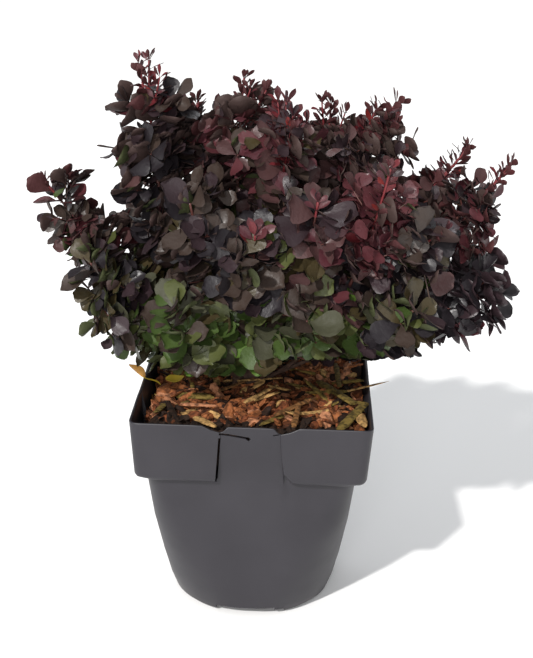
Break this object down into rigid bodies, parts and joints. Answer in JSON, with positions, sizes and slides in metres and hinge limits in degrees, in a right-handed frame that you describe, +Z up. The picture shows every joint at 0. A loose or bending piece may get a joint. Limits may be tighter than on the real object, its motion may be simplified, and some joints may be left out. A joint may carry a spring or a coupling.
{
  "type": "potted barberry",
  "caption": "Young purple-leaved barberry shrub, bushy and upright with slim red new shoots, in a square nursery pot filled with bark mulch.",
  "frame": {"origin": "middle of the pot's flat underside", "axes": "+Z up, -Y towards the side the picture was taken from, +X to the picture's right"},
  "size_m": [0.3115, 0.2245, 0.3624],
  "materials": {
    "pot_plastic": "dark grey moulded plastic, slightly scuffed",
    "mulch": "orange-brown bark chips and splinters",
    "old_wood": "rough grey-brown bark",
    "cane_bark": "thin red-brown bark",
    "foliage": "satin leaves, purple-black above, greener inside the crown, bright red at the new tips"
  },
  "bodies": {
    "root": {"bark_mulch": "mulch", "cane_back_left": "cane_bark", "cane_back_low": "cane_bark", "cane_back_mid_left": "cane_bark", "cane_back_mid_right": "cane_bark", "cane_back_right": "cane_bark", "cane_far_left": "cane_bark", "cane_far_right": "cane_bark", "cane_front_left": "cane_bark", "cane_front_left_low": "cane_bark", "cane_front_right": "cane_bark", "cane_front_right_low": "cane_bark", "cane_front_rose": "cane_bark", "cane_front_spike": "cane_bark", "cane_left_back": "cane_bark", "cane_left_low": "cane_bark", "cane_left_notch": "cane_bark", "cane_left_out": "cane_bark", "cane_right_front": "cane_bark", "cane_right_low": "cane_bark", "cane_right_mid": "cane_bark", "cane_right_out": "cane_bark", "cane_right_top": "cane_bark", "cane_tall_left": "cane_bark", "cane_top_back_right": "cane_bark", "cane_top_centre": "cane_bark", "cane_top_left": "cane_bark", "crown_wood": "old_wood", "pot": "pot_plastic", "spray_back_left": "foliage", "spray_back_low": "foliage", "spray_back_mid_left": "foliage", "spray_back_mid_right": "foliage", "spray_back_right": "foliage", "spray_far_left": "foliage", "spray_far_right": "foliage", "spray_front_left": "foliage", "spray_front_left_low": "foliage", "spray_front_right": "foliage", "spray_front_right_low": "foliage", "spray_front_rose": "foliage", "spray_front_spike": "foliage", "spray_left_back": "foliage", "spray_left_low": "foliage", "spray_left_notch": "foliage", "spray_left_out": "foliage", "spray_right_front": "foliage", "spray_right_low": "foliage", "spray_right_mid": "foliage", "spray_right_out": "foliage", "spray_right_top": "foliage", "spray_tall_left": "foliage", "spray_top_back_right": "foliage", "spray_top_centre": "foliage", "spray_top_left": "foliage"}
  },
  "joints": []
}
